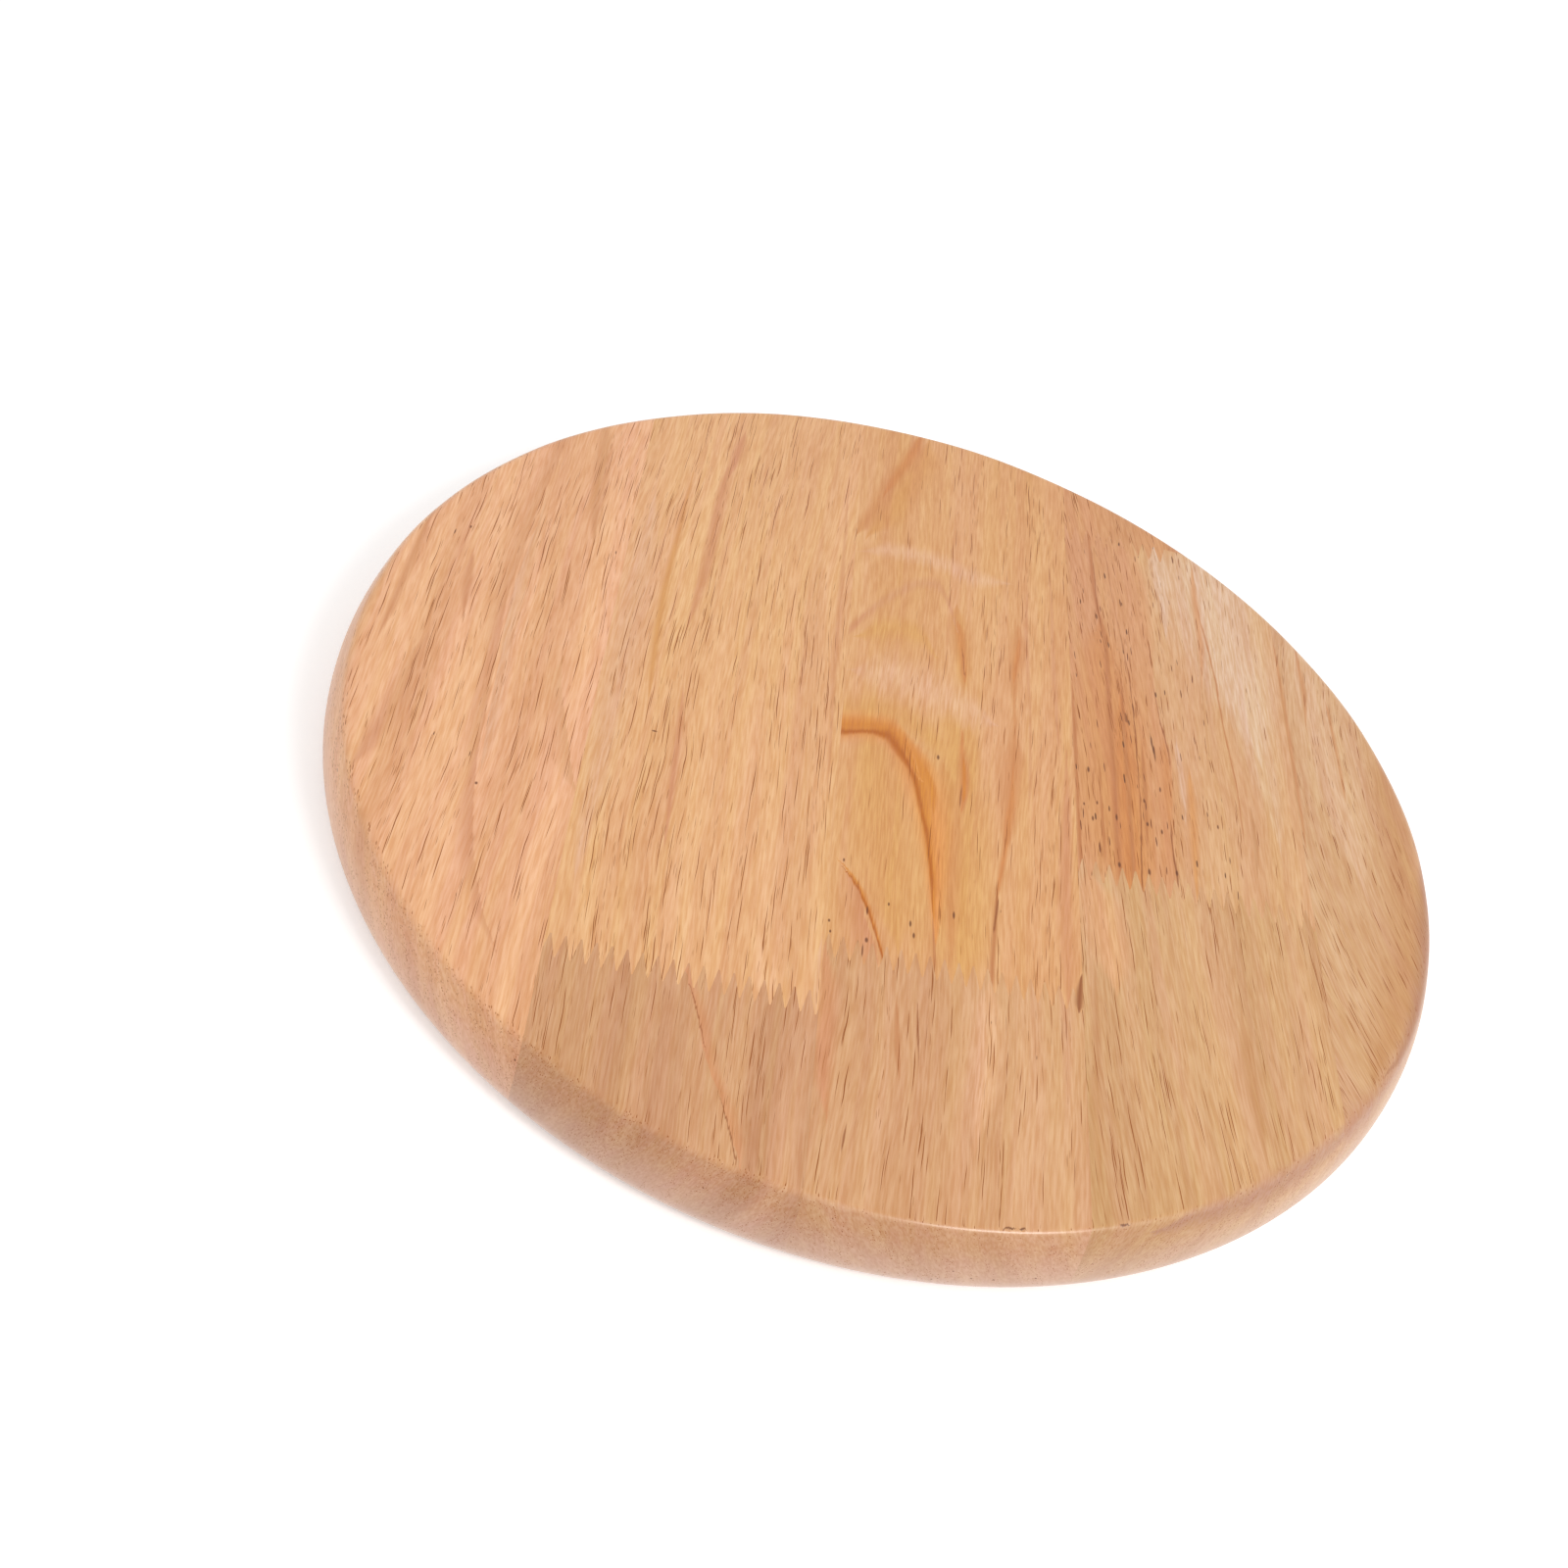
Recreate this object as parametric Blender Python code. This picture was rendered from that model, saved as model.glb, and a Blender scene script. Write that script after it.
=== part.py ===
# Round serving board of edge-glued, finger-jointed rubberwood blocks.
# Metres, +Z up. The board rests on z = 0 with its axis on the Z axis, and its grain runs along Y.
# Each block is its own solid: a bar between two glue lines, toothed at its ends, cut to the turned shape.

from math import asin, ceil, cos, floor, hypot, pi, sin, sqrt

import bmesh
import bpy

# Driving sizes of the finished board
BOARD_DIAMETER = 0.250
BOARD_THICKNESS = 0.018
WIDEST_HEIGHT = 0.0061        # height of the side's widest point above the underside
TOP_EDGE_INSET = 0.0033       # how far the side leans in on its way up to the top's arris
ARRIS_RADIUS = 0.0005         # the small round that eases that arris
BOTTOM_EDGE_INSET = 0.0055    # how far the flat underside stops short of the widest point

# Driving sizes of the glue-up
STRIP_WIDTH = 0.054
MIDDLE_STRIP_CENTRE = 0.0117  # the middle strip lies a little to the right of the board's axis
GLUE_GAP = 0.0003             # between any two blocks that are glued together
NARROWEST_STRIP = 0.004       # an outer strip that would show less than this is left out

# Driving sizes of a finger joint
FINGER_PITCH = 0.0030
FINGER_LENGTH = 0.0058
FINGER_TIP = 0.0003           # width of the flat at a finger's end

# The joints' places: each one's middle along Y
STRIP_2_JOINT = -0.0769
STRIP_3_JOINT = -0.0615
STRIP_4_NEAR_JOINT = -0.0240
STRIP_4_FAR_JOINT = 0.0953

# How far each joint's first finger stands from its strip's left glue line
STRIP_2_FIRST_FINGER = 0.0010
STRIP_3_FIRST_FINGER = 0.0009
STRIP_4_NEAR_FIRST_FINGER = 0.0011
STRIP_4_FAR_FIRST_FINGER = 0.0001

# The strips from left to right, with each strip's blocks from its near end to its far end, the
# tone of each block's wood, and the joints between those blocks.
STRIPS = [
    {"blocks": [("strip_1", "E0AB83")], "joints": []},
    {"blocks": [("strip_2_near", "D19D76"), ("strip_2_far", "E0AD81")],
     "joints": [(STRIP_2_JOINT, STRIP_2_FIRST_FINGER)]},
    {"blocks": [("strip_3_near", "D9A67C"), ("strip_3_far", "DFAB76")],
     "joints": [(STRIP_3_JOINT, STRIP_3_FIRST_FINGER)]},
    {"blocks": [("strip_4_near", "D9A97F"), ("strip_4_middle", "D8A97E"), ("strip_4_far", "D29D76")],
     "joints": [(STRIP_4_NEAR_JOINT, STRIP_4_NEAR_FIRST_FINGER),
                (STRIP_4_FAR_JOINT, STRIP_4_FAR_FIRST_FINGER)]},
    {"blocks": [("strip_5", "D5AA82")], "joints": []},
]
WOOD_ROUGHNESS = 0.42

# How finely the turned side is drawn
TURN_STEPS = 180
TOP_EDGE_STEPS = 7
ARRIS_STEPS = 2
BOTTOM_EDGE_STEPS = 7

SAW_ALLOWANCE = 0.010         # rough stock round the board before it is turned
SHORTEST_EDGE = 0.00005       # a tooth's corner nearer than this to a glue line is left out

RADIUS = BOARD_DIAMETER / 2
NARROWEST_RADIUS = RADIUS - max(TOP_EDGE_INSET, BOTTOM_EDGE_INSET)
STOCK_REACH = RADIUS + SAW_ALLOWANCE

# A finger's flank leans, so the glue gap square to it is a little wider along X.
SIDE_GAP = GLUE_GAP * hypot(FINGER_LENGTH, FINGER_PITCH / 2) / FINGER_LENGTH
FLANK_RUN = FINGER_PITCH / 2 - FINGER_TIP - SIDE_GAP


def clear_scene():
    for old in list(bpy.data.objects):
        bpy.data.objects.remove(old, do_unlink=True)


def linear(channel):
    share = channel / 255
    return share / 12.92 if share <= 0.04045 else ((share + 0.055) / 1.055) ** 2.4


def wood(name, tone):
    """Oiled rubberwood of one block, its tone given as an sRGB hex value."""
    material = bpy.data.materials.new(name)
    material.use_nodes = True
    colour = [linear(int(tone[i:i + 2], 16)) for i in (0, 2, 4)] + [1]
    shader = material.node_tree.nodes["Principled BSDF"]
    shader.inputs["Base Color"].default_value = colour
    shader.inputs["Roughness"].default_value = WOOD_ROUGHNESS
    shader.inputs["Metallic"].default_value = 0
    material.diffuse_color = colour
    return material


def side_profile():
    """Radius and height of the turned side, from the flat underside up to the flat top."""
    points = []
    for step in range(BOTTOM_EDGE_STEPS):
        turn = pi / 2 * (1 - step / BOTTOM_EDGE_STEPS)
        points.append((RADIUS - BOTTOM_EDGE_INSET * (1 - cos(turn)), WIDEST_HEIGHT * (1 - sin(turn))))

    # Above the widest point, where it is upright, the side is one arc towards the top's arris. The
    # arris is a smaller arc inside it, tangent to it and to the flat top.
    rise = BOARD_THICKNESS - WIDEST_HEIGHT
    arc_radius = (TOP_EDGE_INSET ** 2 + rise ** 2) / (2 * TOP_EDGE_INSET)
    arc_centre = RADIUS - arc_radius
    between_centres = arc_radius - ARRIS_RADIUS
    meeting_turn = asin((rise - ARRIS_RADIUS) / between_centres)
    for step in range(TOP_EDGE_STEPS):
        turn = meeting_turn * step / TOP_EDGE_STEPS
        points.append((arc_centre + arc_radius * cos(turn), WIDEST_HEIGHT + arc_radius * sin(turn)))
    arris_centre = arc_centre + between_centres * cos(meeting_turn)
    for step in range(ARRIS_STEPS + 1):
        turn = meeting_turn + (pi / 2 - meeting_turn) * step / ARRIS_STEPS
        points.append((arris_centre + ARRIS_RADIUS * cos(turn),
                       BOARD_THICKNESS - ARRIS_RADIUS * (1 - sin(turn))))
    return points


def make_turned_shape():
    """The outer shape of the whole board, the guide that every block is cut to."""
    bm = bmesh.new()
    profile = [bm.verts.new((radius, 0, height)) for radius, height in side_profile()]
    edges = [bm.edges.new(pair) for pair in zip(profile, profile[1:])]
    bmesh.ops.spin(bm, geom=profile + edges, cent=(0, 0, 0), axis=(0, 0, 1), angle=2 * pi,
                   steps=TURN_STEPS, use_merge=True)
    for face in bm.faces:
        face.smooth = True
    bmesh.ops.holes_fill(bm, edges=[edge for edge in bm.edges if edge.is_boundary], sides=0)
    bmesh.ops.recalc_face_normals(bm, faces=bm.faces)
    guide = add_object("turned_shape", bm)
    guide.hide_render = True
    guide.display_type = "WIRE"
    return guide


def toothed_end(left, right, joint, first_finger, side):
    """Corners of one side of a finger joint, from left to right.

    side is -1 for the near block, whose fingers point along +Y, and 1 for the far block.
    """
    half_top = FINGER_TIP / 2 + (side + 1) / 2 * SIDE_GAP
    low = joint - FINGER_LENGTH / 2 + side * GLUE_GAP / 2
    high = low + FINGER_LENGTH

    # By the rim, where the outer block's fingers would be cut off at their roots, the teeth stop.
    level, level_middle = (high, first_finger) if joint > 0 else (low, first_finger + FINGER_PITCH / 2)
    root_line = abs(joint) + FINGER_LENGTH / 2 + GLUE_GAP
    reach = sqrt(max(NARROWEST_RADIUS ** 2 - root_line ** 2, 0))
    steps_left = ceil((-reach - level_middle) / FINGER_PITCH)
    steps_right = floor((reach - level_middle) / FINGER_PITCH)
    toothed_left = max(left, level_middle + steps_left * FINGER_PITCH)
    toothed_right = min(right, level_middle + steps_right * FINGER_PITCH)

    def height(x):
        if not toothed_left <= x <= toothed_right:
            return level
        off_middle = abs((x - first_finger + FINGER_PITCH / 2) % FINGER_PITCH - FINGER_PITCH / 2)
        return high - FINGER_LENGTH * min(max((off_middle - half_top) / FLANK_RUN, 0), 1)

    corners = [(left, height(left))]
    finger = first_finger + floor((toothed_left - first_finger) / FINGER_PITCH) * FINGER_PITCH
    while finger < toothed_right + FINGER_PITCH:
        for x in (finger - half_top - FLANK_RUN, finger - half_top,
                  finger + half_top, finger + half_top + FLANK_RUN):
            if toothed_left + SHORTEST_EDGE < x < toothed_right - SHORTEST_EDGE:
                corners.append((x, height(x)))
        finger += FINGER_PITCH
    corners.append((right, height(right)))
    return corners


def add_object(name, bm):
    mesh = bpy.data.meshes.new(name)
    bm.to_mesh(mesh)
    bm.free()
    added = bpy.data.objects.new(name, mesh)
    bpy.context.scene.collection.objects.link(added)
    return added


def make_block(name, tone, near_end, far_end, guide, parent):
    """One block: its outline drawn up through the stock, then cut to the turned shape."""
    bm = bmesh.new()
    outline = [bm.verts.new((x, y, -SAW_ALLOWANCE)) for x, y in near_end + far_end[::-1]]
    base = bm.faces.new(outline)
    risen = bmesh.ops.extrude_face_region(bm, geom=[base])["geom"]
    upper = [item for item in risen if isinstance(item, bmesh.types.BMVert)]
    bmesh.ops.translate(bm, vec=(0, 0, BOARD_THICKNESS + 2 * SAW_ALLOWANCE), verts=upper)
    bmesh.ops.recalc_face_normals(bm, faces=bm.faces)
    block = add_object(name, bm)
    block.data.materials.append(wood(name, tone))
    block.parent = parent
    cut = block.modifiers.new("turned", "BOOLEAN")
    cut.operation = "INTERSECT"
    cut.solver = "EXACT"
    cut.object = guide
    return block


def make_strip(strip, left, right, left_line, guide, parent):
    """The blocks of one strip, end to end from its near end to its far end."""
    end = [(left, -STOCK_REACH), (right, -STOCK_REACH)]
    joints = strip["joints"]
    for number, (name, tone) in enumerate(strip["blocks"]):
        near_end = end
        if number < len(joints):
            middle, first_finger = joints[number]
            far_end = toothed_end(left, right, middle, left_line + first_finger, -1)
            end = toothed_end(left, right, middle, left_line + first_finger, 1)
        else:
            far_end = [(left, STOCK_REACH), (right, STOCK_REACH)]
        make_block(name, tone, near_end, far_end, guide, parent)


def make_board():
    board = bpy.data.objects.new("board", None)
    bpy.context.scene.collection.objects.link(board)
    guide = make_turned_shape()
    guide.parent = board

    # A glue line is left out where it would part less than the narrowest strip from the rim. The
    # outermost strips run on to the rim.
    leftmost_line = MIDDLE_STRIP_CENTRE - STRIP_WIDTH * len(STRIPS) / 2
    outermost_line = RADIUS - NARROWEST_STRIP
    for number, strip in enumerate(STRIPS):
        left_line = leftmost_line + STRIP_WIDTH * number
        right_line = left_line + STRIP_WIDTH
        if left_line > outermost_line or right_line < -outermost_line:
            continue
        is_first = number == 0 or left_line < -outermost_line
        is_last = number == len(STRIPS) - 1 or right_line > outermost_line
        left = -STOCK_REACH if is_first else left_line + GLUE_GAP / 2
        right = STOCK_REACH if is_last else right_line - GLUE_GAP / 2
        make_strip(strip, left, right, left_line, guide, board)


clear_scene()
make_board()
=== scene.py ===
# Round serving board of edge-glued, finger-jointed rubberwood, turned, sanded and oiled.
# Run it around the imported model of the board. Metres, +Z up, grain along Y.

from math import asin, atan2, ceil, cos, floor, hypot, pi, radians, sin, sqrt

import bmesh
import bpy
from mathutils import Matrix, Vector, noise


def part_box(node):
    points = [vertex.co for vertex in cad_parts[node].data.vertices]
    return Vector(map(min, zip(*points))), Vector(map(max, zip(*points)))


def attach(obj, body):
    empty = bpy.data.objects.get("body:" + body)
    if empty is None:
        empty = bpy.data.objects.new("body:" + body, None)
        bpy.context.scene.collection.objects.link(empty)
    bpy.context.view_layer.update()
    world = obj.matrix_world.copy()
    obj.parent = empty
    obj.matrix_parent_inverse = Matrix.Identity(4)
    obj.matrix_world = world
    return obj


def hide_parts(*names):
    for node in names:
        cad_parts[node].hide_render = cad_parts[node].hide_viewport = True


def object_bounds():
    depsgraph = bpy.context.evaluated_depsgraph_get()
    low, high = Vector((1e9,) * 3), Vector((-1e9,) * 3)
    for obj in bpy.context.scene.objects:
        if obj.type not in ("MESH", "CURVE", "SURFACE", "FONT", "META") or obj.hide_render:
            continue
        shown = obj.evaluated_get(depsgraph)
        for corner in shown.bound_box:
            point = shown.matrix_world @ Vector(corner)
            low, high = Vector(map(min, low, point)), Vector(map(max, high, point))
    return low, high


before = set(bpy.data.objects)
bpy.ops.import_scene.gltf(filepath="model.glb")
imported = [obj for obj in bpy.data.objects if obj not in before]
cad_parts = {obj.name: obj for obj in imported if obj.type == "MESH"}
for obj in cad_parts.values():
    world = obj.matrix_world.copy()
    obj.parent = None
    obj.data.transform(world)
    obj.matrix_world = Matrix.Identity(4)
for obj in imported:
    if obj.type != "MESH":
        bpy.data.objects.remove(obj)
cadLow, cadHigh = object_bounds()
print("frame loaded, board", round(1000 * (cadHigh.x - cadLow.x), 1), "mm across")

mm = 0.001


# Helpers

def linearColour(hexValue):  # sRGB hex to the linear values that the shaders take
    shares = [int(hexValue[i:i + 2], 16) / 255 for i in (0, 2, 4)]
    return [s / 12.92 if s <= 0.04045 else ((s + 0.055) / 1.055) ** 2.4 for s in shares] + [1]


def addNode(tree, kind, inputs=(), take=0, ramp=(), curve=(), **settings):
    # inputs holds sockets to link or plain values, ramp and curve the stops of those two nodes
    node = tree.nodes.new(kind)
    for setting, value in settings.items():
        setattr(node, setting, value)
    for socket, value in dict(inputs).items():
        if isinstance(value, bpy.types.NodeSocket):
            tree.links.new(value, node.inputs[socket])
        else:
            node.inputs[socket].default_value = value
    if ramp:
        stops = node.color_ramp.elements
        for _ in ramp[2:]:
            stops.new(1)
        for stop, (position, colour) in zip(stops, ramp):
            stop.position = position
            stop.color = linearColour(colour)
    if curve:
        points = node.mapping.curves[0].points
        points[0].location, points[1].location = curve[0], curve[-1]
        for place in curve[1:-1]:
            points.new(*place)
        for point in points:
            point.handle_type = "AUTO_CLAMPED"
        node.mapping.extend = "HORIZONTAL"
        node.mapping.update()
    return node.outputs[take]


def meshObject(name, bm):
    mesh = bpy.data.meshes.new(name)
    bm.to_mesh(mesh)
    bm.free()
    made = bpy.data.objects.new(name, mesh)
    bpy.context.scene.collection.objects.link(made)
    return made


# The board's outer shape: one fine turned disc, from which every block is cut

board = {
    "widestHeight": 6.1 * mm,   # of the side, above the underside
    "topInset": 3.3 * mm,       # the side leans in by this up to the top's arris
    "underInset": 5.5 * mm,     # and rounds in by this down to the underside
    # The arris is eased unevenly, least at the near right: (degrees round the board, radius in mm)
    "arrisRadii": [(-180, 2.2), (-125, 2.2), (-98, 2.0), (-88, 1.6), (-68, 1.6), (-56, 2.6), (-30, 3.2),
                   (30, 2.8), (90, 2.4), (180, 2.2)],
    "arrisWander": 0.4 * mm,    # it isn't a true circle either, and strays by this
    "wanderLength": 26 * mm,    # over this length of it
    "turnSteps": 480,
    "underSteps": 10,
    "sideSteps": 12,
    "arrisSteps": 8,
    "ringWidth": 0.5 * mm,
    "smoothBelow": 30,          # degrees between two faces that are shaded as one
}
radius = (cadHigh.x - cadLow.x) / 2
thickness = cadHigh.z - cadLow.z


def sideProfile(arris):  # radius and height, from the flat underside up to the flat top
    points = []
    for step in range(board["underSteps"]):
        turn = pi / 2 * (1 - step / board["underSteps"])
        points.append((radius - board["underInset"] * (1 - cos(turn)),
                       board["widestHeight"] * (1 - sin(turn))))
    rise = thickness - board["widestHeight"]
    arcRadius = (board["topInset"] ** 2 + rise ** 2) / (2 * board["topInset"])
    arcCentre = radius - arcRadius
    betweenCentres = arcRadius - arris
    meetingTurn = asin((rise - arris) / betweenCentres)
    for step in range(board["sideSteps"]):
        turn = meetingTurn * step / board["sideSteps"]
        points.append((arcCentre + arcRadius * cos(turn),
                       board["widestHeight"] + arcRadius * sin(turn)))
    arrisCentre = arcCentre + betweenCentres * cos(meetingTurn)
    for step in range(board["arrisSteps"] + 1):
        turn = meetingTurn + (pi / 2 - meetingTurn) * step / board["arrisSteps"]
        points.append((arrisCentre + arris * cos(turn), thickness - arris * (1 - sin(turn))))

    # A narrow flat ring at either end keeps the shading of the rounds off the flats
    ringWidth = board["ringWidth"]
    return [(points[0][0] - ringWidth, 0)] + points + [(arrisCentre - ringWidth, thickness)]


def arrisRadius(degrees):
    for (before, small), (after, large) in zip(board["arrisRadii"], board["arrisRadii"][1:]):
        if degrees <= after:
            share = (degrees - before) / (after - before)
            return (small + (large - small) * share * share * (3 - 2 * share)) * mm


def makeDisc():
    bm = bmesh.new()
    rings = []
    for step in range(board["turnSteps"]):
        degrees = -180 + 360 * step / board["turnSteps"]
        outward = Vector((cos(radians(degrees)), sin(radians(degrees)), 0))
        wander = board["arrisWander"] * noise.noise(outward * radius / board["wanderLength"])
        ring = []
        for out, height in sideProfile(arrisRadius(degrees)):
            lift = max((height - board["widestHeight"]) / (thickness - board["widestHeight"]), 0)
            ring.append(bm.verts.new(outward * (out + wander * lift ** 2) + Vector((0, 0, height))))
        rings.append(ring)
    for ring, following in zip(rings, rings[1:] + rings[:1]):
        for lower, upper in zip(range(len(ring) - 1), range(1, len(ring))):
            bm.faces.new((ring[lower], following[lower], following[upper], ring[upper])).smooth = True
    for level in (0, -1):  # the flat underside and top
        bm.faces.new([ring[level] for ring in rings]).smooth = False
    bmesh.ops.recalc_face_normals(bm, faces=bm.faces)
    return meshObject("turnedDisc", bm)


# The blocks: bars between the glue lines, toothed where two meet end to end

glueUp = {
    "fingerPitch": 3.0 * mm,
    "fingerLength": 5.8 * mm,
    "fingerTip": 0.3 * mm,      # width of the flat at a finger's end
    "glueLine": 0.005 * mm,
    "packedGap": 0.3 * mm,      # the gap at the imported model's glue lines
    "firstFinger": {            # from the strip's left glue line, by the joint's near block
        "strip_2_near": 1.0 * mm,
        "strip_3_near": 0.9 * mm,
        "strip_4_near": 1.1 * mm,
        "strip_4_middle": 0.1 * mm,
    },
    "strips": [["strip_1"], ["strip_2_near", "strip_2_far"], ["strip_3_near", "strip_3_far"],
               ["strip_4_near", "strip_4_middle", "strip_4_far"], ["strip_5"]],
    "shortestEdge": 0.05 * mm,  # a tooth's corner nearer than this to a glue line is left out
    "sawAllowance": 10 * mm,    # rough stock round the board before it is turned
}
stockReach = radius + glueUp["sawAllowance"]


def toothedEnd(left, right, joint, firstFinger, side):
    # side is -1 for the near block, whose fingers point along +Y, and 1 for the far block
    pitch, length = glueUp["fingerPitch"], glueUp["fingerLength"]
    sideGap = glueUp["glueLine"] * hypot(length, pitch / 2) / length
    flankRun = pitch / 2 - glueUp["fingerTip"] - sideGap
    halfTop = glueUp["fingerTip"] / 2 + (side + 1) / 2 * sideGap
    low = joint - length / 2 + side * glueUp["glueLine"] / 2
    high = low + length

    # By the rim the teeth stop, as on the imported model
    level, levelMiddle = (high, firstFinger) if joint > 0 else (low, firstFinger + pitch / 2)
    rootLine = abs(joint) + length / 2 + glueUp["packedGap"]
    reach = sqrt((radius - board["underInset"]) ** 2 - rootLine ** 2)
    toothedLeft = max(left, levelMiddle + ceil((-reach - levelMiddle) / pitch) * pitch)
    toothedRight = min(right, levelMiddle + floor((reach - levelMiddle) / pitch) * pitch)

    def height(x):
        if not toothedLeft <= x <= toothedRight:
            return level
        offMiddle = abs((x - firstFinger + pitch / 2) % pitch - pitch / 2)
        return high - length * min(max((offMiddle - halfTop) / flankRun, 0), 1)

    corners = [(left, height(left))]
    finger = firstFinger + floor((toothedLeft - firstFinger) / pitch) * pitch
    while finger < toothedRight + pitch:
        for x in (finger - halfTop - flankRun, finger - halfTop,
                  finger + halfTop, finger + halfTop + flankRun):
            if toothedLeft + glueUp["shortestEdge"] < x < toothedRight - glueUp["shortestEdge"]:
                corners.append((x, height(x)))
        finger += pitch
    corners.append((right, height(right)))
    return corners


def cutBlock(name, nearEnd, farEnd, disc):
    bm = bmesh.new()
    base = bm.faces.new([bm.verts.new((x, y, -thickness)) for x, y in nearEnd + farEnd[::-1]])
    risen = bmesh.ops.extrude_face_region(bm, geom=[base])["geom"]
    upper = [item for item in risen if isinstance(item, bmesh.types.BMVert)]
    bmesh.ops.translate(bm, vec=(0, 0, 3 * thickness), verts=upper)
    bmesh.ops.recalc_face_normals(bm, faces=bm.faces)
    block = meshObject(name, bm)
    cut = block.modifiers.new("turned", "BOOLEAN")
    cut.operation = "INTERSECT"
    cut.solver = "EXACT"
    cut.object = disc
    return block


def bakeModifiers(block):
    seen = block.evaluated_get(bpy.context.evaluated_depsgraph_get())
    finished = bpy.data.meshes.new_from_object(seen)
    block.modifiers.clear()
    block.data = finished
    bm = bmesh.new()
    bm.from_mesh(finished)
    for edge in bm.edges:
        edge.smooth = edge.calc_face_angle(0) < radians(board["smoothBelow"])
    bm.to_mesh(finished)
    bm.free()


def makeBlocks():
    disc = makeDisc()
    nicks = makeArrisNicks()
    strips = glueUp["strips"]
    halfGlue = glueUp["glueLine"] / 2
    blocks = {}
    for number, strip in enumerate(strips):
        # A glue line lies midway between the two packed blocks that it joins
        left, right = -stockReach, stockReach
        leftLine = 0
        if number > 0:
            leftLine = (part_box(strips[number - 1][0])[1].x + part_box(strip[0])[0].x) / 2
            left = leftLine + halfGlue
        if number < len(strips) - 1:
            right = (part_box(strip[0])[1].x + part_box(strips[number + 1][0])[0].x) / 2 - halfGlue
        nearEnd = [(left, -stockReach), (right, -stockReach)]
        for name, beyond in zip(strip, strip[1:] + [None]):
            nextNearEnd = farEnd = [(left, stockReach), (right, stockReach)]
            if beyond:
                joint = (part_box(name)[1].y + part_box(beyond)[0].y) / 2
                firstFinger = leftLine + glueUp["firstFinger"][name]
                farEnd = toothedEnd(left, right, joint, firstFinger, -1)
                nextNearEnd = toothedEnd(left, right, joint, firstFinger, 1)
            block = cutBlock(name + "_block", nearEnd, farEnd, disc)
            if name in arrisNicks["blocks"]:
                nick = block.modifiers.new("nicks", "BOOLEAN")
                nick.operation = "DIFFERENCE"
                nick.solver = "EXACT"
                nick.object = nicks
            bakeModifiers(block)
            blocks[name] = block
            nearEnd = nextNearEnd
    bpy.data.objects.remove(disc)
    bpy.data.objects.remove(nicks)
    return blocks


# Small nicks where pores broke out of the arris

arrisNicks = {
    "blocks": ["strip_3_near", "strip_4_near"],
    "places": [(22.8, 0.55), (25.4, 0.7), (44.8, 0.6)],  # each in mm: how far to the right, half length
    "halfWidth": 0.5 * mm,
    "depth": 0.22 * mm,
}


def makeArrisNicks():
    bm = bmesh.new()
    arris = radius - board["topInset"]
    for across, halfLength in arrisNicks["places"]:
        place = Vector((across * mm, -sqrt(arris ** 2 - (across * mm) ** 2), thickness))
        made = bmesh.ops.create_icosphere(bm, subdivisions=2, radius=1)["verts"]
        size = (halfLength * mm, arrisNicks["halfWidth"], arrisNicks["depth"])
        bmesh.ops.scale(bm, vec=size, verts=made)
        bmesh.ops.rotate(bm, matrix=Matrix.Rotation(atan2(place.x, -place.y), 3, "Z"), verts=made)
        bmesh.ops.translate(bm, vec=place, verts=made)
    return meshObject("nickCutter", bm)


blocks = makeBlocks()
print("blocks cut:", len(blocks))


# Rubberwood: sanded fine and oiled. Pale, with brown pores along the grain that show as dots where
# the turned side cuts across it, a satin shine, and a duller, deeper tone on end grain.

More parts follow.
